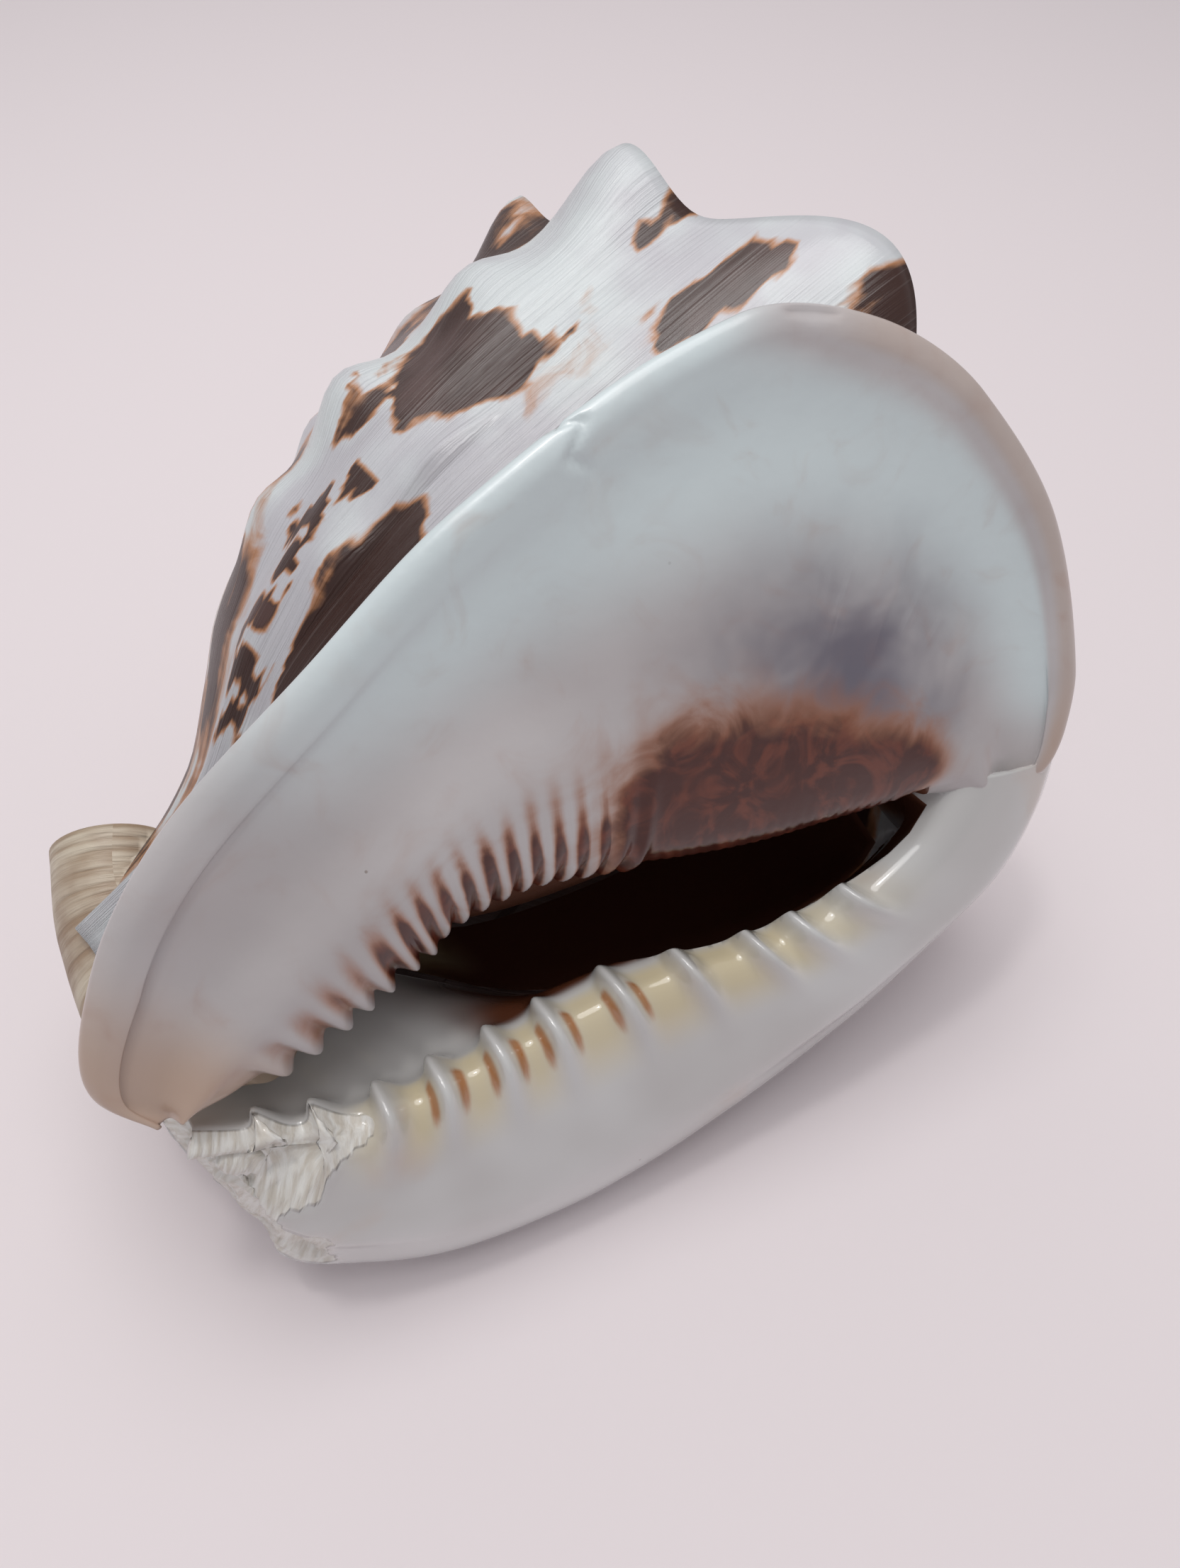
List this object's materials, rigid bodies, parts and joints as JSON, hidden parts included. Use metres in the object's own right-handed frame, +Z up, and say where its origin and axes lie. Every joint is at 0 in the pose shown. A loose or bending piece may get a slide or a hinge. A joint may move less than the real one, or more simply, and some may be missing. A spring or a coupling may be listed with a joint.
{
  "type": "helmet shell",
  "caption": "Large horned sea-snail shell with a broad flat shield, a thick toothed outer lip, a slit mouth between them and a low knobbed spire",
  "frame": {"origin": "centre of the bounding box in X and Y, on the surface that the shell rests on", "axes": "+X runs towards the spire along the shell's length, -Y is the side of the outer lip and the mouth, +Z is up as the shell rests"},
  "size_m": [0.2444, 0.2126, 0.1898],
  "materials": {
    "shell": "satin"
  },
  "bodies": {
    "root": {"shell": "shell"}
  },
  "joints": []
}
